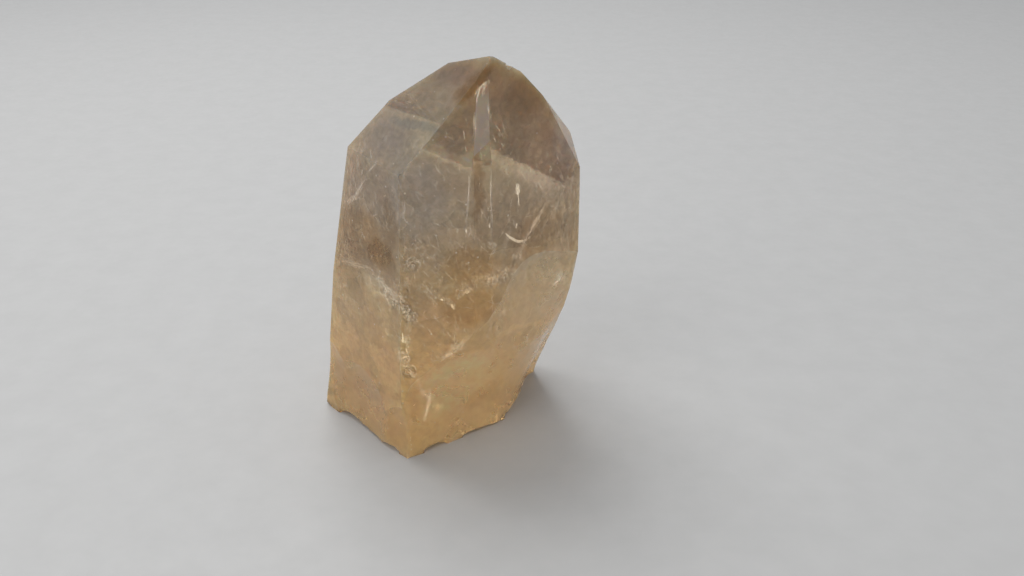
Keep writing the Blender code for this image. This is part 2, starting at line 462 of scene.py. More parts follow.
HEIGHT = 70.0 * MM
SMOKE_STOPS = (
    # share of the height, and the colour of the stone there
    (0.00, (0.90, 0.58, 0.25)),
    (0.25, (0.84, 0.59, 0.30)),
    (0.42, (0.70, 0.54, 0.33)),
    (0.56, (0.55, 0.44, 0.31)),
    (0.72, (0.58, 0.47, 0.35)),
    (1.00, (0.60, 0.49, 0.36)),
)
ZONE_SHIFT = Vector((1.5, 1.5, 1.5))    # the middle of the sway that the zones' borders wander by
SWAY = 3.0 * MM
TONE_AND_LIGHT_ZONES = {
    # for each kind of surface: centre and reach in mm, turn in the upright plane in degrees,
    # softness of the border, and what the zone multiplies the stone's red, green and blue by
    # Most zones are the stone's own tones; those marked below are painted highlights.
    "grown": (
        ((-2.0, -16.0, 47.0), (9.0, 9.0, 9.0), 0, 0.6, (0.92, 0.95, 1.02)),
        ((-3.6, -16.7, 48.0), (4.6, 6.0, 6.6), 0, 0.3, (0.90, 0.97, 1.12)),
        ((10.0, -12.0, 60.0), (14.0, 12.0, 10.0), 0, 0.4, (1.21, 1.22, 1.11)),
        ((20.8, -0.6, 54.0), (3.5, 4.0, 6.0), 0, 0.3, (1.30, 1.40, 1.65)),
        ((-4.5, -10.0, 60.0), (12.0, 10.0, 9.5), 0, 0.4, (0.86, 0.94, 1.04)),
        ((-9.8, -12.8, 37.4), (2.5, 9.0, 2.6), 0, 0.35, (0.66, 0.51, 0.26)),
        ((-13.0, -9.0, 39.0), (5.4, 9.0, 4.8), 15, 0.4, (0.74, 0.60, 0.42)),
        ((-7.7, -15.2, 43.4), (1.5, 5.0, 5.0), 0, 0.6, (0.66, 0.58, 0.48)),
        ((-16.2, -5.3, 32.4), (4.0, 7.0, 5.0), 0, 0.5, (0.76, 0.68, 0.58)),
        ((8.5, -11.0, 68.0), (4.0, 6.0, 2.4), 0, 0.5, (0.84, 0.84, 0.84)),
        ((10.3, -12.3, 35.2), (2.4, 5.0, 2.0), 0, 0.5, (0.80, 0.76, 0.68)),
        ((-8.0, -15.0, 10.5), (2.4, 5.0, 3.5), 0, 0.5, (1.16, 1.16, 1.16)),
        ((-3.9, -16.8, 30.4), (2.6, 5.0, 2.6), 0, 0.5, (0.86, 0.86, 0.86)),
        ((11.6, -11.4, 42.6), (3.4, 6.0, 5.4), 0, 0.5, (0.80, 0.78, 0.76)),
        ((1.9, -16.1, 45.4), (3.0, 6.0, 3.6), 0, 0.5, (1.12, 1.16, 1.18)),
        ((18.6, -4.5, 40.8), (3.0, 6.0, 4.4), 0, 0.5, (1.12, 1.13, 1.13)),
        ((-2.5, -16.5, 19.5), (3.6, 6.0, 4.0), 0, 0.5, (1.12, 1.13, 1.15)),
        ((14.0, -8.5, 63.0), (3.4, 6.0, 4.6), -45, 0.5, (0.70, 0.67, 0.58)),
        ((4.9, -15.8, 36.3), (4.6, 6.0, 3.4), 0, 0.4, (0.88, 0.74, 0.56)),
        ((4.6, -15.9, 29.3), (5.0, 6.0, 3.6), 0, 0.3, (0.82, 0.70, 0.53)),
        ((16.5, -6.6, 38.6), (4.8, 8.0, 4.6), 0, 0.35, (0.78, 0.66, 0.52)),
        ((-10.7, -11.9, 31.5), (2.7, 6.0, 1.9), -10, 0.3, (1.25, 1.35, 1.48)),
        ((-7.5, -15.9, 25.2), (4.0, 6.0, 4.2), 0, 0.4, (1.00, 1.07, 1.08)),
        ((6.4, -15.4, 49.5), (0.75, 4.0, 6.0), 0, 0.4, (0.72, 0.60, 0.48)),
        ((6.2, -14.8, 65.9), (0.95, 4.0, 3.8), -45, 0.4, (0.66, 0.53, 0.36)),
        ((-3.3, -12.6, 58.9), (5.0, 7.0, 0.75), 0, 0.4, (0.68, 0.74, 0.84)),
        ((-8.0, -10.5, 56.0), (5.5, 7.0, 2.6), 0, 0.5, (0.82, 0.83, 0.90)),
        # Painted highlight: narrow bright bands just below the tip.
        ((2.7, -16.2, 54.8), (4.2, 5.0, 1.1), -27, 0.5, (1.56, 1.58, 1.62)),
        ((6.7, -15.3, 55.3), (2.2, 4.0, 1.6), 0, 0.5, (1.62, 1.62, 1.62)),
        ((13.8, -9.3, 49.8), (8.2, 7.0, 1.2), -39, 0.5, (1.46, 1.50, 1.60)),
        ((-12.0, -9.7, 47.0), (5.0, 7.0, 5.0), 0, 0.5, (0.92, 0.91, 0.93)),
        ((-8.0, -15.2, 11.8), (6.5, 6.0, 3.2), -46, 0.3, (1.14, 1.15, 1.12)),
        # Painted highlight: the same bright band further along.
        ((16.9, -6.2, 50.6), (4.4, 5.0, 2.8), -39, 0.5, (1.30, 1.30, 1.26)),
        ((2.6, -9.6, 67.4), (4.8, 5.0, 2.4), -10, 0.5, (0.72, 0.72, 0.78)),
        ((-7.2, -15.9, 37.6), (2.0, 4.0, 4.5), 0, 0.5, (0.86, 0.84, 0.81)),
        ((-2.3, -16.6, 33.0), (3.0, 4.0, 2.4), 0, 0.5, (0.90, 0.89, 0.88)),
    ),
    "broken": (
        ((3.5, -11.5, 12.8), (9.5, 8.0, 6.0), 0, 0.5, (1.26, 1.25, 1.40)),
        # Painted highlight: a white glint high on the broken flank.
        ((20.2, -0.6, 27.6), (1.1, 5.0, 2.0), 35, 0.5, (1.30, 1.40, 1.55)),
        # Painted highlight: a light line along the fold between the two broken flanks.
        ((10.2, -10.5, 21.4), (4.0, 8.0, 0.5), 8, 0.5, (1.22, 1.24, 1.18)),
        ((15.8, -4.0, 19.9), (3.4, 8.0, 0.5), -30, 0.5, (1.22, 1.24, 1.18)),
        ((17.4, -4.0, 28.5), (7.5, 9.0, 7.0), 0, 0.3, (1.02, 1.12, 1.26)),
        ((6.0, -9.0, 15.0), (9.0, 7.0, 3.4), -20, 0.4, (1.04, 1.06, 1.02)),
        ((6.4, -9.0, 8.6), (3.4, 6.0, 1.9), 25, 0.5, (0.80, 0.74, 0.62)),
        ((2.0, -12.0, 6.0), (9.5, 8.0, 5.5), 0, 0.5, (1.14, 1.18, 1.20)),
        ((-16.5, -5.5, 8.5), (6.0, 8.0, 7.0), 0, 0.5, (0.86, 0.84, 0.76)),
        ((-14.7, -7.1, 7.2), (3.0, 6.0, 2.2), 30, 0.5, (1.04, 0.98, 0.98)),
        ((-15.5, -7.0, 5.5), (9.0, 11.0, 8.5), 0, 0.3, (0.84, 0.81, 0.75)),
        ((2.6, -14.0, 17.0), (7.0, 7.0, 2.2), 14, 0.5, (1.30, 1.26, 1.40)),
        ((-1.6, -14.6, 10.0), (2.6, 6.0, 5.0), -15, 0.5, (1.20, 1.16, 1.24)),
        ((-8.5, -14.3, 4.0), (3.0, 6.0, 2.6), 0, 0.5, (0.84, 0.80, 0.72)),
    ),
}
CLOUD_PINK = (1.018, 0.988, 1.00)
CLOUD_GREEN = (0.982, 1.005, 0.972)
CRACK_LINE = (0.90, 0.80, 0.66)
LIGHT_SPECK = (0.98, 0.94, 0.88)
DARK_GRAIN = (0.40, 0.30, 0.20)
FROSTED = (0.78, 0.60, 0.36)
PALE_FACE_REFLECTION = (0.95, 0.88, 0.78)
WORN_EDGE = (0.84, 0.73, 0.60)
RIM_HIGHLIGHT = (1.0, 0.90, 0.72)
DEEP_HONEY = (0.80, 0.665, 0.43)
QUARTZ_IOR = 1.544

citrine = bpy.data.materials.new("citrine")
citrine.use_nodes = True
tree = citrine.node_tree
shader = tree.nodes["Principled BSDF"].inputs
shader["Transmission Weight"].default_value = 0.74
shader["Subsurface Weight"].default_value = 1.0
shader["Subsurface Radius"].default_value = (1.0, 0.7, 0.45)
shader["Subsurface Scale"].default_value = 0.010
shader["IOR"].default_value = QUARTZ_IOR
position = place(tree, "ShaderNodeTexCoord").outputs["Object"]
upward = place(tree, "ShaderNodeSeparateXYZ", {0: position}).outputs["Z"]
surface = {}
for name in ("grown", "broken", "worn", "rim", "pale"):
    surface[name] = place(tree, "ShaderNodeAttribute", attribute_name=name).outputs["Fac"]

# Smoky above and honey below, with zones of other tones whose borders wander; a few zones are painted
# highlights.
drift = mottle(tree, position, scale=55.0, low=-5.0 * MM, high=5.0 * MM)
level = place(tree, "ShaderNodeMapRange", {"Value": reckon(tree, "ADD", upward, drift), "From Max": HEIGHT})
smoke = place(tree, "ShaderNodeValToRGB", {0: level.outputs["Result"]})
stops = smoke.color_ramp.elements
for at, tone in SMOKE_STOPS[1:-1]:
    stops.new(at)
for stop, (at, tone) in zip(stops, SMOKE_STOPS):
    stop.color = (*tone, 1.0)
colour = smoke.outputs["Color"]
wander = place(tree, "ShaderNodeTexNoise", {
    "Vector": position, "Scale": 260.0, "Detail": 5.0, "Roughness": 0.62,
})
swayed = place(tree, "ShaderNodeVectorMath", {
    0: wander.outputs["Color"], 1: (SWAY, SWAY, SWAY), 2: position,
}, operation="MULTIPLY_ADD").outputs["Vector"]
zone_type = zone_group()
for kind, zones in TONE_AND_LIGHT_ZONES.items():
    for centre, reach, turn, border, tone in zones:
        inside = place(tree, "ShaderNodeGroup", {
            "Position": swayed, "Centre": (Vector(centre) + ZONE_SHIFT) * MM,
            "Reach": Vector(reach) * MM * (1.0 + border), "Turn": -math.radians(turn),
            "Border": 2.0 * border / (1.0 + border),
        }, node_tree=zone_type).outputs["Inside"]
        colour = blend(tree, product(tree, inside, surface[kind]), colour, tone, "MULTIPLY")

# Crazing low on the grown faces, its patches painted reflections of inner cracks, then clouds, flecks,
# specks and dark grains everywhere.
belt = fade(tree, upward, 56.0 * MM, 46.0 * MM)
crazed = product(tree, belt, surface["grown"])
cracks_and_reflections = place(tree, "ShaderNodeGroup", {
    "Position": swayed, "Scale": 230.0, "Low": 0.84, "High": 1.10, "Line Width": 0.025,
}, node_tree=crackle_group()).outputs
reflected_patches = blend(tree, 1.0, colour, cracks_and_reflections["Tone"], "MULTIPLY")
colour = blend(tree, crazed, colour, reflected_patches)
gaps = reckon(tree, "MAXIMUM", mottle(tree, position, scale=400.0, low=-1.0, high=0.6), 0.0)
colour = blend(tree, product(tree, cracks_and_reflections["Line"], gaps, crazed), colour, CRACK_LINE)
cloud = mottle(tree, position, scale=90.0, low=0.95, high=1.05, distortion=0.8)
colour = blend(tree, 1.0, colour, cloud, "MULTIPLY")
rosy = mottle(tree, position, scale=150.0, low=0.0, high=1.0, detail=4.0, distortion=0.6)
colour = blend(tree, 1.0, colour, blend(tree, rosy, CLOUD_GREEN, CLOUD_PINK), "MULTIPLY")
flecks = mottle(tree, position, scale=900.0, low=0.84, high=1.13, detail=6.0, distortion=0.5)
colour = blend(tree, 1.0, colour, flecks, "MULTIPLY")
colour = blend(tree, dust(tree, position, scale=620.0, empty_share=0.72, size=0.16), colour, LIGHT_SPECK)
grains = dust(tree, position, scale=1500.0, empty_share=0.60, size=0.30)
colour = blend(tree, product(tree, grains, 0.45), colour, DARK_GRAIN)

# Frost on the breaks, the pale face low down as painted reflection, bruised edges, and a painted highlight
# on the lip of a break.
colour = blend(tree, product(tree, surface["broken"], 0.35), colour, FROSTED)
# Painted reflection: the narrow pale face is painted paler low down, in place of the bright light it
# reflects.
lower = fade(tree, upward, 66.5 * MM, 63.0 * MM)
colour = blend(tree, product(tree, surface["pale"], lower), colour, PALE_FACE_REFLECTION)
bruise = mottle(tree, position, scale=260.0, low=0.0, high=1.0, detail=4.0)
colour = blend(tree, product(tree, surface["worn"], bruise), colour, WORN_EDGE)
# Painted highlight: the lip along the rims of the breaks is painted lighter in patches, in place of light
# caught on the edge.
highlight_patches = reckon(tree, "MAXIMUM", mottle(tree, position, scale=190.0, low=-1.0, high=0.9), 0.0)
rim_highlight = product(tree, surface["rim"], surface["broken"], highlight_patches)
feed(tree, shader["Base Color"], blend(tree, rim_highlight, colour, RIM_HIGHLIGHT))

# Smudged gloss on the grown faces, gritty breaks, and fine growth steps, pits and roughness.
smudge = mottle(tree, position, scale=120.0, low=0.035, high=0.11)
grit = mottle(tree, position, scale=300.0, low=0.08, high=0.22)
matt = product(tree, surface["broken"], grit)
feed(tree, shader["Roughness"], reckon(tree, "ADD", smudge, matt))
level_steps = place(tree, "ShaderNodeMapping", {"Vector": position, "Scale": (60.0, 60.0, 900.0)})
steps = mottle(tree, level_steps.outputs["Vector"], scale=1.0, low=0.0, high=0.012 * MM, detail=2.0)
pits = mottle(tree, position, scale=300.0, low=0.0, high=0.006 * MM)
grain = mottle(tree, position, scale=500.0, low=0.0, high=0.003 * MM)
rough = product(tree, surface["broken"], grain)
relief = reckon(tree, "ADD", reckon(tree, "ADD", steps, pits), rough)
bump = place(tree, "ShaderNodeBump", {"Height": relief, "Distance": 1.0})
feed(tree, shader["Normal"], bump.outputs["Normal"])
absorb = place(tree, "ShaderNodeVolumeAbsorption", {"Color": DEEP_HONEY, "Density": 26.0})
feed(tree, tree.nodes["Material Output"].inputs["Volume"], absorb.outputs["Volume"])

crystal = make_piece("crystal", crystal_mesh, citrine)
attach(crystal, "root")
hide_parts("crystal_point")


# ------------------------------------------------------------------ healed cracks
# Old cracks that healed over while the stone grew.  Each is left as a bent sheet of tiny trapped
# bubbles and films, laid over it at random in a web with gaps, and fewer the further they lie
# from the line along which the crack closed.
SHEET_STEPS = 36
SHEET_ROWS = 10
SHEET_START = -0.15     # a sheet runs from a little behind its path to 1, in widths
WIDE_BEND = 0.5
WIDE_BEND_LENGTH = 3.0 * MM
FINE_BEND = 0.2
FINE_BEND_LENGTH = 1.1 * MM
FILM_AMOUNT = 4.8
FILM_SEED = 5
FILM_TILT = 0.3
THINNEST_FORM = (1.0, 0.6, 0.35)
LONGEST_FORM = (2.2, 1.0, 0.36)
SMALLEST_FILM = 0.3
SMALL_FILMS = 1.5       # above 1, small films are more common than large ones
VEILS = (
    # path in mm, the way the sheet runs back, its width in mm, how many films, their size in mm
    (((-17.9, -2.0, 31.9), (-15.5, -4.3, 32.0), (-12.3, -7.4, 32.6), (-9.2, -10.4, 32.6)),
     (0.1, 0.5, 0.85), 2.4, 900, 0.09),
    (((-9.8, -9.6, 32.2), (-8.6, -11.6, 32.0), (-7.2, -13.0, 31.2)), (0.3, 0.2, -0.9), 2.6, 800, 0.10),
    (((-7.1, -13.5, 32.2), (-5.8, -15.0, 33.0), (-3.4, -13.8, 31.4), (-0.2, -12.5, 29.7),
      (1.6, -12.3, 28.0)), (0.1, 0.45, 0.9), 1.8, 1200, 0.08),
    (((1.6, -12.3, 28.0), (3.0, -12.2, 29.9), (4.3, -12.0, 31.1), (6.6, -11.3, 31.8), (7.9, -10.2, 32.3),
      (9.9, -8.2, 32.9)), (0.0, 0.6, 0.8), 2.4, 2200, 0.09),
    (((-6.2, -16.2, 29.0), (-4.9, -16.0, 27.4), (-6.0, -16.2, 25.0), (-5.9, -16.3, 21.6),
      (-5.5, -16.2, 17.0)), (0.6, 0.7, 0.2), 1.6, 1100, 0.08),
    (((-4.7, -15.7, 15.7), (-3.8, -14.6, 12.7), (-2.7, -13.8, 10.6), (-3.1, -13.7, 8.4)), (0.5, 0.7, 0.1),
     1.4, 500, 0.08),
    (((4.3, -14.4, 22.9), (1.6, -14.8, 20.6), (-0.7, -15.1, 18.9)), (0.2, 0.8, 0.6), 1.6, 700, 0.08),
    (((16.0, -3.0, 42.0), (14.3, -4.2, 39.0), (12.2, -6.4, 36.0)), (0.3, 0.8, 0.1), 2.4, 900, 0.08),
    (((-14.1, -4.8, 44.0), (-16.1, -3.7, 42.6)), (0.3, 0.7, 0.3), 1.6, 300, 0.08),
)


def along(path, share):
    """The point and the way on, a share of the way along a path of straight steps."""
    legs = [(path[i + 1] - path[i]).length for i in range(len(path) - 1)]
    left = share * sum(legs)
    for number, leg in enumerate(legs):
        if left <= leg or number == len(legs) - 1:
            start, end = path[number], path[number + 1]
            return start.lerp(end, left / leg), (end - start) / leg
        left -= leg


def add_sheet(work, path, lean, width, marks):
    """One bent sheet along a path; gives back its points with how thickly films lie at each."""
    path = [Vector(point) * MM for point in path]
    lean = Vector(lean).normalized()
    rows = []
    for number in range(SHEET_STEPS + 1):
        spot, way = along(path, number / SHEET_STEPS)
        across = (lean - way * lean.dot(way)).normalized()
        normal = way.cross(across)
        row = []
        for step in range(SHEET_ROWS + 1):
            out = SHEET_START + (1.0 - SHEET_START) * step / SHEET_ROWS
            flat = spot + across * out * width * MM
            bend = WIDE_BEND * noise.noise(flat / WIDE_BEND_LENGTH)
            bend += FINE_BEND * noise.noise(flat / FINE_BEND_LENGTH)
            vert = work.verts.new(flat + normal * bend * MM)
            vert[marks] = 1.0 - abs(out) if step else 0.0
            row.append(vert)
        rows.append(row)
    quads = []
    for one, two in zip(rows, rows[1:]):
        for step in range(SHEET_ROWS):
            quads.append(work.faces.new((one[step], one[step + 1], two[step + 1], two[step])))
    return [vert for row in rows for vert in row], sum(quad.calc_area() for quad in quads)


def crack_sheets(veils):
    """The sheets of all the healed cracks in one mesh, marked with the films' number and size."""
    work = bmesh.new()
    films_here = work.verts.layers.float.new("films_here")
    film_size = work.verts.layers.float.new("film_size")
    for path, lean, width, count, size in veils:
        verts, area = add_sheet(work, path, lean, width, films_here)
        for vert in verts:
            vert[films_here] *= count / area
            vert[film_size] = size * MM
    return mesh_of("crack_sheets", work)


def films_tree():
    """Scatters small flat films over the sheets, in a web with gaps, and makes them one mesh."""
    tree = bpy.data.node_groups.new("films_on_sheet", "GeometryNodeTree")
    tree.interface.new_socket(name="Sheet", in_out="INPUT", socket_type="NodeSocketGeometry")
    for name, value in (("Amount", 1.0), ("Web Scale", 667.0), ("Gap Start", 0.05), ("Gap End", 0.40)):
        tree.interface.new_socket(name=name, in_out="INPUT", socket_type=NUMBER).default_value = value
    tree.interface.new_socket(name="Seed", in_out="INPUT", socket_type="NodeSocketInt")
    tree.interface.new_socket(name="Material", in_out="INPUT", socket_type="NodeSocketMaterial")
    tree.interface.new_socket(name="Films", in_out="OUTPUT", socket_type="NodeSocketGeometry")
    given = place(tree, "NodeGroupInput").outputs
    marked = {}
    for name in ("films_here", "film_size"):
        marks = place(tree, "GeometryNodeInputNamedAttribute", {"Name": name}, data_type="FLOAT")
        marked[name] = marks.outputs["Attribute"]

    # The web is where a cloud pattern passes through its middle value.
    cloud = place(tree, "ShaderNodeTexNoise", {"Scale": given["Web Scale"], "Detail": 0.0})
    off_middle = product(tree, reckon(tree, "SUBTRACT", cloud.outputs["Fac"], 0.5), 2.0)
    gap = place(tree, "ShaderNodeMapRange", {
        "Value": reckon(tree, "ABSOLUTE", off_middle, 0.0),
        "From Min": given["Gap Start"], "From Max": given["Gap End"],
    })
    web = reckon(tree, "SUBTRACT", 1.0, reckon(tree, "POWER", gap.outputs["Result"], 0.5))
    wanted = product(tree, marked["films_here"], web, given["Amount"])
    spots = place(tree, "GeometryNodeDistributePointsOnFaces", {
        "Mesh": given["Sheet"], "Density": wanted, "Seed": given["Seed"],
    }, distribute_method="RANDOM").outputs

    # Each film is a flat grain, turned any way in the sheet and tilted a little out of it.
    film = place(tree, "GeometryNodeMeshUVSphere", {"Segments": 4, "Rings": 2, "Radius": 0.6})
    turn = place(tree, "FunctionNodeRandomValue", {
        0: (-FILM_TILT, -FILM_TILT, -math.pi), 1: (FILM_TILT, FILM_TILT, math.pi),
    }, data_type="FLOAT_VECTOR")
    turned = place(tree, "FunctionNodeEulerToRotation", {"Euler": turn.outputs[0]})
    laid = place(tree, "FunctionNodeRotateRotation", {
        "Rotation": spots["Rotation"], "Rotate By": turned.outputs["Rotation"],
    }, rotation_space="LOCAL")
    form = place(tree, "FunctionNodeRandomValue", {
        0: THINNEST_FORM, 1: LONGEST_FORM, "Seed": 1,
    }, data_type="FLOAT_VECTOR")
    grade = place(tree, "FunctionNodeRandomValue", {2: SMALLEST_FILM, 3: 1.0, "Seed": 2}, data_type="FLOAT")
    half = product(tree, reckon(tree, "POWER", grade.outputs[1], SMALL_FILMS), marked["film_size"])
    scaled = place(tree, "ShaderNodeVectorMath", {0: form.outputs[0], "Scale": half}, operation="SCALE")
    placed = place(tree, "GeometryNodeInstanceOnPoints", {
        "Points": spots["Points"], "Instance": film.outputs["Mesh"],
        "Rotation": laid.outputs["Rotation"], "Scale": scaled.outputs["Vector"],
    })
    whole = place(tree, "GeometryNodeRealizeInstances", {"Geometry": placed.outputs["Instances"]})
    coated = place(tree, "GeometryNodeSetMaterial", {
        "Geometry": whole.outputs["Geometry"], "Material": given["Material"],
    })
    place(tree, "NodeGroupOutput", {"Films": coated.outputs["Geometry"]})
    return tree


def grow_on(mesh, tree, **values):
    """The plain mesh that a Geometry Nodes tree makes of another, with its inputs set by name."""
    carrier = bpy.data.objects.new("carrier", mesh)
    scene.collection.objects.link(carrier)
    modifier = carrier.modifiers.new("grow", "NODES")
    modifier.node_group = tree
    for item in tree.interface.items_tree:
        if item.in_out == "INPUT" and item.name in values:
            modifier[item.identifier] = values[item.name]
    graph = bpy.context.evaluated_depsgraph_get()
    grown = bpy.data.meshes.new_from_object(carrier.evaluated_get(graph))
    carrier.modifiers.remove(modifier)
    bpy.data.objects.remove(carrier)
    grown.materials.clear()
    return grown


def inner_material(name, dark, light, roughness, painted_glow):
    """The look of films and threads: blotches of two tones, with a painted glow in place of the light of
    the bright stone round them.
    """
    made = bpy.data.materials.new(name)
    made.use_nodes = True
    tree = made.node_tree
    shader = tree.nodes["Principled BSDF"].inputs
    position = place(tree, "ShaderNodeTexCoord").outputs["Object"]
    tone = blend(tree, mottle(tree, position, scale=900.0, low=0.0, high=1.0), dark, light)
    feed(tree, shader["Base Color"], tone)
    # Painted glow: each film and thread emits its own tone.
    feed(tree, shader["Emission Color"], tone)
    shader["Emission Strength"].default_value = painted_glow
    shine = mottle(tree, position, scale=1500.0, low=roughness * 0.7, high=roughness * 1.3)
    feed(tree, shader["Roughness"], shine)
    return made


# The films shine with a painted glow, in place of the light that reaches them through the stone.
bubble_film = inner_material("bubble_film", (0.74, 0.71, 0.67), (0.96, 0.94, 0.91), roughness=0.3, painted_glow=0.6)
films = grow_on(crack_sheets(VEILS), films_tree(), Amount=FILM_AMOUNT, Seed=FILM_SEED, Material=bubble_film)
films.name = "healed_cracks"
healed_cracks = make_piece("healed_cracks", films, bubble_film)
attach(healed_cracks, "root")


# ------------------------------------------------------------------ needles and shadowed cracks
# Fine threads inside the stone: needles that it grew round and the edges of small cracks, in
# wisps, tangles and curls where it was strained, and loose all through it.  Those that catch the
# light are near white with a painted glow; those it doesn't reach are brown, painted shade.
STRAIGHT_OUT = 0.98     # the nearest face lies straight out from a point when it is inside
THREAD_SIDE = Vector((0.3, 0.5, 0.8))
THREAD_POINTS = 5
BLUNT_END = 0.12
FINE_RINGS = 9
PLAIN_RINGS = 6
SHORT_RINGS = 5
LOOSE_BEND = 0.10 * MM
TAUT_BEND = 0.03 * MM
TANGLE_CURL = 0.28
TANGLE_STEP = 0.22
CURL_POINTS = 9
CURL_RINGS = 14
THICK_WISP = 20         # a wisp of more threads than this has brown ones too
WHITE_STRAYS = 1300
BROWN_STRAYS = 900
STRAY_SHALLOWEST = 0.5 * MM
STRAY_DEPTH = 3.5 * MM
STRAY_HEIGHTS = (12.0, 60.0, 40.0)      # lowest, highest and most common, in mm
STRAY_LEANS = (90.0, 50.0, 55.0, 125.0, 75.0)
SLANTING = 0.3
CLEAR_SHARE = 0.8       # of the strays under a slanting face, how many are left out
GRAIN_FACES = ((0, 2, 4), (2, 1, 4), (1, 3, 4), (3, 0, 4), (2, 0, 5), (1, 2, 5), (3, 1, 5), (0, 3, 5))
WISPS = (
    # path in mm, how many threads, how far they spread and how thick they are, in mm
    (((-9.1, -11.2, 52.5), (-11.1, -9.1, 50.0)), 1, 0.0, 0.22),
    (((-11.9, -8.1, 50.3), (-12.3, -7.8, 49.2)), 1, 0.0, 0.24),
    (((-11.1, -9.1, 49.7), (-13.0, -7.0, 46.3), (-14.4, -5.7, 44.2), (-16.2, -3.9, 42.6)), 70, 0.7, 0.06),
    (((-12.2, -8.3, 45.9), (-14.0, -6.2, 44.1)), 1, 0.0, 0.20),
    (((-11.3, -9.2, 43.5), (-13.0, -7.3, 41.3)), 3, 0.25, 0.12),
    (((-9.0, -11.9, 44.2), (-11.8, -8.7, 42.2)), 3, 0.3, 0.12),
    (((-12.2, -8.2, 40.8), (-14.7, -5.3, 38.7)), 14, 0.6, 0.07),
    (((-6.6, -7.6, 55.9), (-7.9, -7.8, 54.3), (-8.7, -7.5, 53.7)), 5, 0.5, 0.07),
    (((-3.4, -12.1, 54.8), (-4.2, -12.6, 53.6)), 3, 0.3, 0.07),
    (((-1.9, -12.3, 56.1), (-2.9, -12.9, 54.6)), 4, 0.4, 0.07),
    (((-4.9, -11.4, 54.0), (-5.7, -12.0, 52.5)), 4, 0.5, 0.06),
    (((-1.2, -14.5, 47.6), (-2.2, -14.6, 45.6)), 2, 0.2, 0.06),
    (((3.7, -13.5, 39.8), (1.1, -13.8, 37.1)), 2, 0.2, 0.07),
    (((3.5, -14.1, 25.9), (2.3, -14.2, 24.3)), 3, 0.4, 0.06),
    (((7.1, -13.1, 27.0), (5.5, -13.9, 24.4)), 5, 0.5, 0.06),
    (((17.0, -4.2, 43.4), (16.1, -5.1, 41.8), (15.1, -6.1, 40.4), (13.4, -7.7, 37.8), (12.0, -9.6, 34.6)),
     80, 0.6, 0.06),
    (((19.3, -1.8, 42.7), (18.0, -3.2, 40.5), (15.9, -5.3, 38.2)), 25, 0.7, 0.05),
    (((5.2, -15.5, 53.8), (5.0, -15.5, 49.4), (4.6, -15.5, 45.2), (4.4, -15.5, 40.1)), 24, 0.22, 0.035),
    (((8.4, -14.2, 54.2), (8.3, -14.2, 48.9), (8.4, -14.2, 43.8), (8.4, -14.2, 37.8)), 30, 0.18, 0.04),
    (((10.1, -11.1, 46.2), (10.9, -10.3, 40.6), (9.3, -11.9, 35.7)), 12, 0.9, 0.05),
    (((16.2, -5.3, 34.1), (18.2, -3.6, 36.0), (20.7, -1.1, 37.7)), 16, 0.7, 0.05),
    (((-5.1, -15.4, 47.0), (-6.0, -15.5, 43.7)), 8, 0.6, 0.05),
    (((-2.3, -15.1, 37.1), (0.1, -14.9, 39.1)), 6, 0.5, 0.06),
    (((-6.5, -15.2, 42.3), (-5.3, -15.9, 39.9)), 5, 0.4, 0.06),
    (((-3.4, -15.2, 39.3), (-1.9, -15.1, 36.1)), 6, 0.5, 0.05),
    (((2.1, -14.7, 41.5), (1.1, -14.8, 38.7)), 6, 0.4, 0.05),
    (((8.8, -12.8, 66.6), (7.9, -13.7, 66.2), (6.7, -14.3, 65.3), (6.2, -14.5, 64.0), (6.0, -14.6, 62.3)),
     14, 0.35, 0.08),
    (((8.2, -13.5, 66.3), (7.4, -14.0, 65.3), (7.2, -14.1, 63.7)), 9, 0.3, 0.07),
    (((6.0, -14.7, 62.3), (6.0, -14.9, 59.7), (5.8, -15.1, 56.1)), 12, 0.3, 0.04),
    (((8.1, -13.8, 63.7), (8.1, -13.9, 61.7), (8.2, -14.0, 59.4)), 9, 0.3, 0.04),
    (((1.9, -15.5, 56.6), (3.1, -15.3, 57.1), (4.3, -15.1, 57.7), (5.3, -14.9, 58.8)), 7, 0.8, 0.035),
    (((7.7, -11.3, 31.4), (8.6, -10.1, 32.4), (10.1, -8.6, 32.7)), 14, 0.5, 0.06),
    (((7.7, -11.3, 31.4), (8.6, -10.1, 32.4), (10.1, -8.6, 32.7)), 1, 0.0, 0.09),
    (((-4.7, -16.1, 15.7), (-3.8, -14.9, 12.7), (-2.7, -14.1, 10.6), (-3.1, -14.0, 8.4),
      (-4.5, -14.5, 3.5)), 18, 0.4, 0.05),
    (((-17.9, -2.0, 31.9), (-15.5, -4.3, 32.0), (-12.3, -7.4, 32.6), (-9.2, -10.4, 32.6)), 40, 0.8, 0.05),
    (((4.3, -14.8, 22.9), (1.6, -15.2, 20.6), (-0.7, -15.5, 18.9)), 26, 0.6, 0.05),
    (((6.2, -9.0, 11.9), (7.4, -8.0, 11.6)), 5, 0.4, 0.06),
    (((9.2, -5.8, 9.0), (8.7, -5.7, 7.1)), 5, 0.5, 0.06),
    (((18.6, -0.9, 26.0), (19.8, -0.4, 27.4), (20.2, -0.4, 28.6)), 50, 0.6, 0.14),
    (((-19.9, -0.7, 8.7), (-17.5, -3.6, 11.1), (-14.1, -7.9, 14.1)), 6, 0.3, 0.09),
    (((-2.6, -15.0, 14.1), (-2.4, -14.4, 11.8), (-3.2, -14.4, 8.7), (-4.0, -14.5, 5.7)), 10, 0.35, 0.09),
    (((-14.1, -7.5, 20.7), (-12.9, -8.9, 19.5), (-12.0, -10.0, 18.1)), 6, 0.5, 0.08),
    (((11.4, -10.5, 35.0), (12.1, -9.8, 36.1), (12.8, -9.2, 37.3)), 12, 0.7, 0.09),
    (((9.1, -12.3, 25.2), (10.0, -11.6, 26.3), (10.8, -10.6, 26.9)), 9, 0.6, 0.09),
    (((6.9, -13.6, 23.1), (7.8, -13.3, 24.2), (9.0, -12.5, 25.1)), 8, 0.6, 0.09),
)
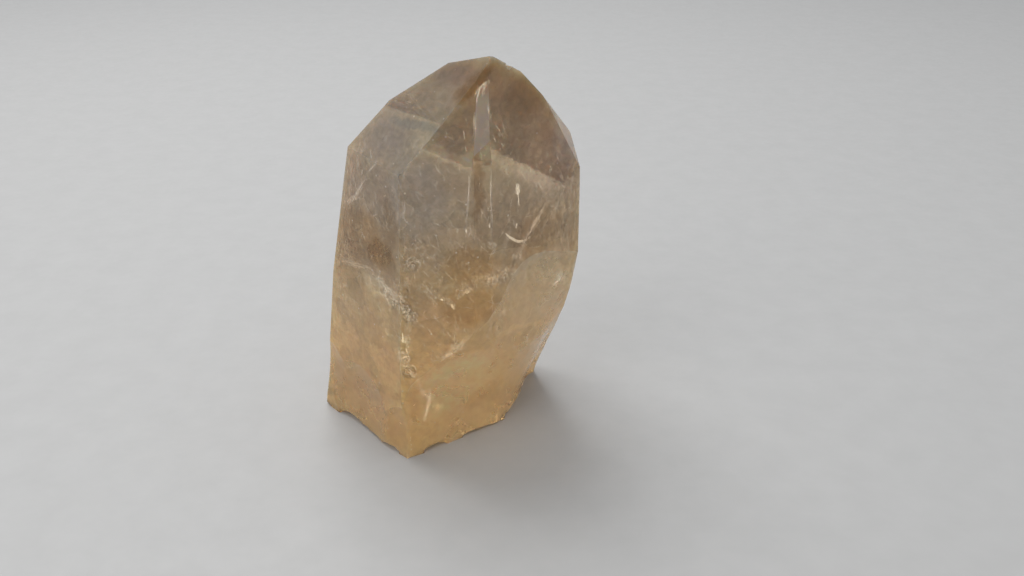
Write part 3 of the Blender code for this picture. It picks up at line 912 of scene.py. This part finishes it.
SHADE_WISPS = (
    # the same, for threads that are always in the shade
    (((-13.7, -8.4, 14.4), (-12.5, -9.8, 13.6), (-11.0, -11.7, 12.1), (-9.5, -13.5, 10.4),
      (-7.7, -15.2, 9.2)), 14, 0.2, 0.10),
    (((-7.7, -15.2, 9.2), (-6.1, -15.6, 6.3)), 4, 0.2, 0.10),
    (((2.2, -14.9, 40.0), (0.8, -15.1, 38.3), (-0.6, -15.2, 36.8)), 4, 0.25, 0.12),
    (((6.9, -13.6, 23.1), (7.8, -13.3, 24.2), (9.0, -12.5, 25.1)), 12, 0.6, 0.10),
    (((9.6, -12.2, 32.4), (11.2, -10.5, 33.0), (12.8, -9.2, 37.3)), 16, 0.8, 0.10),
)
TANGLES = (
    # centre and radius in mm, how many threads, their thickness in mm
    ((-7.3, -13.5, 30.5), 1.25, 150, 0.07),
    ((-6.7, -14.8, 30.0), 0.9, 50, 0.07),
    ((-10.2, -10.6, 32.0), 1.3, 50, 0.07),
    ((-9.0, -12.0, 31.7), 1.0, 50, 0.07),
    ((-5.6, -16.0, 28.2), 0.8, 45, 0.07),
    ((-5.0, -15.9, 26.8), 0.8, 45, 0.07),
    ((-6.0, -16.0, 23.2), 0.9, 50, 0.07),
    ((-5.9, -16.1, 20.4), 0.8, 35, 0.07),
    ((1.0, -12.6, 29.2), 0.8, 40, 0.07),
    ((4.0, -12.0, 30.9), 0.9, 50, 0.07),
    ((7.2, -10.8, 32.2), 1.0, 40, 0.07),
    ((2.1, -14.2, 21.6), 0.9, 50, 0.07),
    ((11.6, -7.0, 34.8), 1.3, 50, 0.07),
    ((-16.1, -2.8, 35.0), 1.3, 40, 0.07),
    ((-14.4, -4.8, 36.2), 1.3, 35, 0.07),
    ((-0.2, -14.4, 36.2), 0.9, 18, 0.07),
    ((3.9, -14.0, 36.0), 1.0, 18, 0.07),
    ((8.1, -12.1, 38.8), 0.7, 14, 0.07),
    ((4.3, -13.5, 42.0), 0.5, 12, 0.07),
    ((20.2, -0.6, 27.8), 0.9, 40, 0.07),
    ((-7.8, -14.4, 30.5), 1.6, 50, 0.12),
    ((-8.8, -13.3, 30.2), 1.1, 40, 0.14),
    ((-5.9, -16.2, 29.4), 0.7, 26, 0.13),
    ((-5.0, -16.1, 28.0), 0.8, 28, 0.13),
    ((-4.4, -16.0, 27.1), 0.6, 20, 0.13),
    ((-6.8, -15.9, 21.1), 0.7, 24, 0.13),
    ((-6.4, -16.0, 19.7), 0.8, 30, 0.13),
    ((-5.7, -16.0, 18.1), 0.8, 30, 0.13),
    ((-5.1, -15.9, 16.4), 0.8, 28, 0.13),
    ((-9.0, -13.2, 23.2), 0.9, 20, 0.09),
    ((-4.5, -15.8, 36.8), 0.9, 22, 0.10),
    ((-15.3, -5.5, 32.7), 0.8, 18, 0.10),
    ((9.6, -12.2, 32.4), 0.9, 26, 0.10),
    ((11.2, -10.5, 33.0), 0.8, 20, 0.10),
)
CURLS = (
    # centre in mm, the way across, radius in mm, how many white and brown threads, their thickness
    ((-8.2, -13.9, 30.5), (0.64, -0.77, 0.0), 1.8, 12, 14, 0.17),
    ((-6.0, -15.9, 29.0), (0.9, -0.3, 0.0), 0.8, 6, 7, 0.18),
    ((-5.0, -16.0, 27.6), (1.0, 0.0, 0.0), 0.8, 6, 8, 0.18),
    ((-6.3, -15.9, 19.6), (1.0, 0.0, 0.0), 0.9, 7, 10, 0.18),
    ((-5.4, -15.9, 17.4), (1.0, 0.0, 0.0), 0.9, 7, 10, 0.18),
    ((-4.3, -15.8, 36.9), (1.0, 0.0, 0.0), 1.2, 5, 6, 0.15),
    ((10.0, -11.6, 32.6), (0.7, 0.7, 0.0), 0.9, 5, 6, 0.16),
)
SPECK_PLACES = (
    # centre in mm of each loose grain
    (12.5, -9.4, 60.6), (14.2, -7.8, 57.5), (10.5, -11.5, 60.3), (11.5, -10.5, 57.9), (9.7, -12.2, 62.2),
    (12.4, -8.9, 60.4), (14.1, -7.3, 57.4), (10.6, -10.7, 62.1), (16.1, -5.5, 52.6), (9.5, -12.2, 54.9),
    (4.7, -14.5, 60.4), (-0.2, -14.4, 36.2), (8.1, -12.1, 38.8),
)


def new_heap():
    return {"points": [], "faces": []}


def heap_mesh(name, heap):
    """Turns a heap of closed threads and grains into a mesh that faces out."""
    mesh = bpy.data.meshes.new(name)
    mesh.from_pydata(heap["points"], [], heap["faces"])
    mesh.validate()
    work = bmesh.new()
    work.from_mesh(mesh)
    bmesh.ops.recalc_face_normals(work, faces=work.faces[:])
    work.to_mesh(mesh)
    work.free()
    return mesh


def add_grain(heap, middle, half):
    """One small eight-sided grain."""
    first = len(heap["points"])
    for arm in (Vector((half, 0, 0)), Vector((0, half, 0)), Vector((0, 0, half))):
        heap["points"] += [middle + arm, middle - arm]
    heap["faces"] += [tuple(first + corner for corner in face) for face in GRAIN_FACES]


def well_inside(point, least):
    """Whether a point lies inside the stone, deeper than the least depth."""
    found, near, normal, index = crystal.closest_point_on_mesh(point)
    depth = (near - point).dot(normal)
    return depth > least and depth > STRAIGHT_OUT * (near - point).length


def add_thread(heap, path, thickness, rings=FINE_RINGS):
    """A fine three-sided thread that tapers to both ends, where all of it lies inside the stone."""
    if not all(well_inside(point, thickness) for point in path):
        return
    first = len(heap["points"])
    for number in range(rings):
        spot, way = along(path, number / (rings - 1))
        side = way.cross(THREAD_SIDE).normalized()
        up = way.cross(side)
        swell = max(0.0, math.sin(math.pi * number / (rings - 1)))
        radius = thickness / 2 * max(BLUNT_END, swell ** 0.5)
        for corner in range(3):
            turn = corner * 2 * math.pi / 3
            heap["points"].append(spot + (side * math.cos(turn) + up * math.sin(turn)) * radius)
        if number:
            for corner in range(3):
                a = first + (number - 1) * 3 + corner
                b = first + (number - 1) * 3 + (corner + 1) % 3
                heap["faces"].append((a, b, b + 3, a + 3))
    heap["faces"].append((first + 2, first + 1, first))
    last = first + (rings - 1) * 3
    heap["faces"].append((last, last + 1, last + 2))


def scatter(luck, reach):
    """A small step any way, most often shorter than its reach."""
    return Vector([luck.gauss(0.0, reach) for _ in range(3)])


def lay_wisp(heap, path, strands, spread, thickness, luck):
    """A loose bundle of fine threads along a path; a single strand runs its whole length."""
    path = [Vector(point) * MM for point in path]
    bend = LOOSE_BEND if strands > 1 else TAUT_BEND
    rings = FINE_RINGS if strands < 4 else PLAIN_RINGS
    for strand in range(strands):
        start = luck.uniform(0.0, 0.6) if strands > 1 else 0.0
        end = min(1.0, start + luck.uniform(0.2, 0.5)) if strands > 1 else 1.0
        shift = scatter(luck, spread * 0.4) * MM
        thread = []
        for number in range(THREAD_POINTS):
            spot = along(path, start + (end - start) * number / (THREAD_POINTS - 1))[0]
            thread.append(spot + shift + Vector([luck.uniform(-1.0, 1.0) for _ in range(3)]) * bend)
        add_thread(heap, thread, thickness * MM * luck.uniform(0.5, 1.0), rings)


def lay_tangle(heap, centre, radius, strands, thickness, luck):
    """A ball of short curled threads."""
    for strand in range(strands):
        spot = scatter(luck, 0.45) * radius * MM + Vector(centre) * MM
        way = scatter(luck, 1.0).normalized()
        curl = scatter(luck, 1.0)
        thread = []
        for number in range(THREAD_POINTS):
            thread.append(spot.copy())
            way = (way + curl * TANGLE_CURL).normalized()
            spot += way * radius * TANGLE_STEP * MM
        add_thread(heap, thread, thickness * luck.uniform(0.45, 1.0) * MM, SHORT_RINGS)


def lay_curls(heap, centre, across, radius, count, thickness, luck):
    """Round bent threads, one inside another, in the upright plane that runs across."""
    across = Vector(across).normalized()
    for curl in range(count):
        begin = luck.uniform(0.0, 2.0 * math.pi)
        turn = luck.uniform(1.2, 4.5)
        reach = radius * luck.uniform(0.35, 1.0) * MM
        middle = Vector(centre) * MM + scatter(luck, 0.25) * radius * MM
        path = []
        for number in range(CURL_POINTS):
            angle = begin + turn * number / (CURL_POINTS - 1)
            wobble = reach * luck.uniform(0.9, 1.1)
            rise = Vector((0.0, 0.0, math.sin(angle) * wobble))
            path.append(middle + across * math.cos(angle) * wobble + rise)
        add_thread(heap, path, thickness * MM * luck.uniform(0.6, 1.0), CURL_RINGS)


def scatter_strays(heap, body, count, luck):
    """Single short threads under the faces all round, most of them in the stone's upper half."""
    low, high = body.bound_box[0], body.bound_box[6]
    laid = 0
    while laid < count:
        spot = Vector([luck.uniform(a, b) for a, b in zip(low, high)])
        spot.z = luck.triangular(*STRAY_HEIGHTS) * MM
        found, near, normal, index = body.closest_point_on_mesh(spot)
        depth = (near - spot).dot(normal)
        if depth < STRAY_SHALLOWEST or depth > STRAY_DEPTH or depth < STRAIGHT_OUT * (near - spot).length:
            continue
        if normal.z > SLANTING and luck.random() < CLEAR_SHARE:
            continue
        laid += 1
        along_face = normal.cross(Vector((0.0, 0.0, 1.0))).normalized()
        lean = math.radians(luck.choice(STRAY_LEANS) + luck.gauss(0.0, 12.0))
        way = along_face * math.cos(lean) + Vector((0.0, 0.0, math.sin(lean)))
        half = way * luck.triangular(0.2, 1.5, 0.3) * MM
        half -= normal * half.dot(normal)
        bow = normal.cross(way) * luck.gauss(0.0, 0.15) * half.length
        add_thread(heap, [spot - half, spot + bow, spot + half], luck.uniform(0.05, 0.13) * MM, SHORT_RINGS)


luck = random.Random(5)
white = new_heap()
for path, strands, spread, thickness in WISPS:
    lay_wisp(white, path, strands, spread, thickness, luck)
for centre, radius, strands, thickness in TANGLES:
    lay_tangle(white, centre, radius, strands, thickness, luck)
for centre, across, radius, light, dark, thickness in CURLS:
    lay_curls(white, centre, across, radius, light, thickness, luck)
scatter_strays(white, crystal, WHITE_STRAYS, luck)
for centre in SPECK_PLACES:
    add_grain(white, Vector(centre) * MM, luck.uniform(0.06, 0.11) * MM)
# The white threads shine with a painted glow, in place of the light that reaches them.
needle_white = inner_material("needle", (0.72, 0.68, 0.63), (0.96, 0.93, 0.89), roughness=0.3, painted_glow=0.5)
needles = make_piece("needles", heap_mesh("needles", white), needle_white)
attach(needles, "root")

# The brown threads, painted shade, lie among the white ones, a little further out and fewer.
brown = new_heap()
for centre, radius, strands, thickness in TANGLES:
    lay_tangle(brown, centre, radius * 1.15, strands * 2 // 3, thickness, luck)
for path, strands, spread, thickness in SHADE_WISPS:
    lay_wisp(brown, path, strands, spread, thickness, luck)
for path, strands, spread, thickness in WISPS:
    if strands > THICK_WISP:
        lay_wisp(brown, path, strands // 3, spread * 1.2, thickness * 1.3, luck)
for centre, across, radius, light, dark, thickness in CURLS:
    lay_curls(brown, centre, across, radius * 1.15, dark, thickness, luck)
scatter_strays(brown, crystal, BROWN_STRAYS, luck)
crack_shade = inner_material("crack_shade", (0.16, 0.10, 0.06), (0.36, 0.26, 0.17), roughness=0.4, painted_glow=0.0)
shadowed_cracks = make_piece("shadowed_cracks", heap_mesh("shadowed_cracks", brown), crack_shade)
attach(shadowed_cracks, "root")


# ------------------------------------------------------------------ open films
# The few cracks that never healed.  Each is a thin film of air inside the stone, white, with a
# painted glow in place of the light it throws straight back.
FLASHES = (
    # path in mm and thickness in mm of each film
    (((9.6, -9.7, 40.1), (10.4, -8.9, 39.0), (11.8, -7.6, 37.6), (12.9, -6.4, 37.3), (13.9, -5.5, 37.7)),
     0.55),
    (((11.6, -7.8, 41.1), (11.4, -7.9, 40.1)), 0.35),
    (((11.6, -7.6, 48.0), (11.8, -7.5, 46.7), (11.7, -7.5, 45.9)), 0.95),
    (((11.8, -7.5, 45.9), (11.9, -7.4, 43.9)), 0.25),
    (((1.5, -12.2, 28.6), (2.0, -12.1, 27.6)), 0.45),
    (((4.0, -11.9, 30.4), (4.5, -11.8, 30.8)), 0.35),
    (((-0.3, -12.2, 29.6), (0.2, -12.1, 29.4)), 0.30),
    (((-6.35, -16.4, 24.9), (-6.3, -16.45, 22.9)), 0.22),
    (((-5.9, -16.4, 21.9), (-5.7, -16.4, 21.1)), 0.16),
    (((4.3, -13.5, 42.3), (4.3, -13.5, 41.7)), 0.30),
    (((7.7, -12.2, 42.6), (7.7, -12.2, 42.0)), 0.26),
)
flashes = new_heap()
for path, thickness in FLASHES:
    add_thread(flashes, [Vector(point) * MM for point in path], thickness * MM)
# Painted glow: the films emit their near-white tone.
open_film = inner_material("open_film", (0.92, 0.88, 0.76), (1.0, 0.99, 0.94), roughness=0.2, painted_glow=1.0)
open_films = make_piece("open_films", heap_mesh("open_films", flashes), open_film)
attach(open_films, "root")


# ------------------------------------------------------------------ room, light and camera
# A plain pale table top of faintly speckled paper that runs out of sight, with a soft sky all
# round, a large lamp overhead and a weaker one in front.
TABLE_HALF = 3.0
TABLE_GAP = 0.02 * MM
PAPER_DARK = (0.407, 0.404, 0.397)
PAPER_LIGHT = (0.423, 0.420, 0.413)


def table_mesh():
    work = bmesh.new()
    bmesh.ops.create_grid(work, x_segments=1, y_segments=1, size=TABLE_HALF)
    bmesh.ops.translate(work, verts=work.verts[:], vec=(0.0, 0.0, -TABLE_GAP))
    return mesh_of("floor", work)


table = bpy.data.materials.new("table")
table.use_nodes = True
tree = table.node_tree
shader = tree.nodes["Principled BSDF"].inputs
position = place(tree, "ShaderNodeTexCoord").outputs["Object"]
paper = mottle(tree, position, scale=150.0, low=0.0, high=1.0)
feed(tree, shader["Base Color"], blend(tree, paper, PAPER_DARK, PAPER_LIGHT))
feed(tree, shader["Roughness"], mottle(tree, position, scale=500.0, low=0.55, high=0.65))
floor = make_piece("floor", table_mesh(), table)

world = bpy.data.worlds.new("studio")
scene.world = world
world.use_nodes = True
sky = world.node_tree.nodes["Background"].inputs
sky["Color"].default_value = (0.95, 0.97, 1.0, 1)
sky["Strength"].default_value = 0.62

LAMP_TARGET = Vector((0.0, 0.0, 0.03))


def soft_lamp(name, stand, size, power):
    """A rectangular lamp at a place, turned to the crystal."""
    data = bpy.data.lights.new(name, "AREA")
    data.shape = "RECTANGLE"
    data.size, data.size_y = size
    data.energy = power
    lamp = bpy.data.objects.new(name, data)
    lamp.location = stand
    lamp.rotation_euler = (LAMP_TARGET - Vector(stand)).to_track_quat("-Z", "Y").to_euler()
    scene.collection.objects.link(lamp)


soft_lamp("overhead", stand=(-0.15, 0.25, 0.60), size=(0.45, 0.35), power=3.0)
soft_lamp("front fill", stand=(-0.35, -0.40, 0.45), size=(0.35, 0.35), power=1.0)

FRAME_WIDTH = 1024.0
FOCAL_LENGTH = 1100.0
SENSOR_WIDTH = 36.0
CAMERA_PLACE = Vector((11.70, -176.83, 109.38)) * MM
CAMERA_DIP = math.radians(25.5)
lens = bpy.data.cameras.new("camera")
lens.sensor_width = SENSOR_WIDTH
lens.lens = SENSOR_WIDTH * FOCAL_LENGTH / FRAME_WIDTH
lens.clip_start = 0.01
camera = bpy.data.objects.new("camera", lens)
camera.location = CAMERA_PLACE
camera.rotation_euler = (math.pi / 2 - CAMERA_DIP, 0.0, 0.0)
scene.collection.objects.link(camera)
scene.camera = camera
scene.view_settings.view_transform = "Standard"
scene.cycles.max_bounces = 24
scene.cycles.transmission_bounces = 24
scene.cycles.use_denoising = True
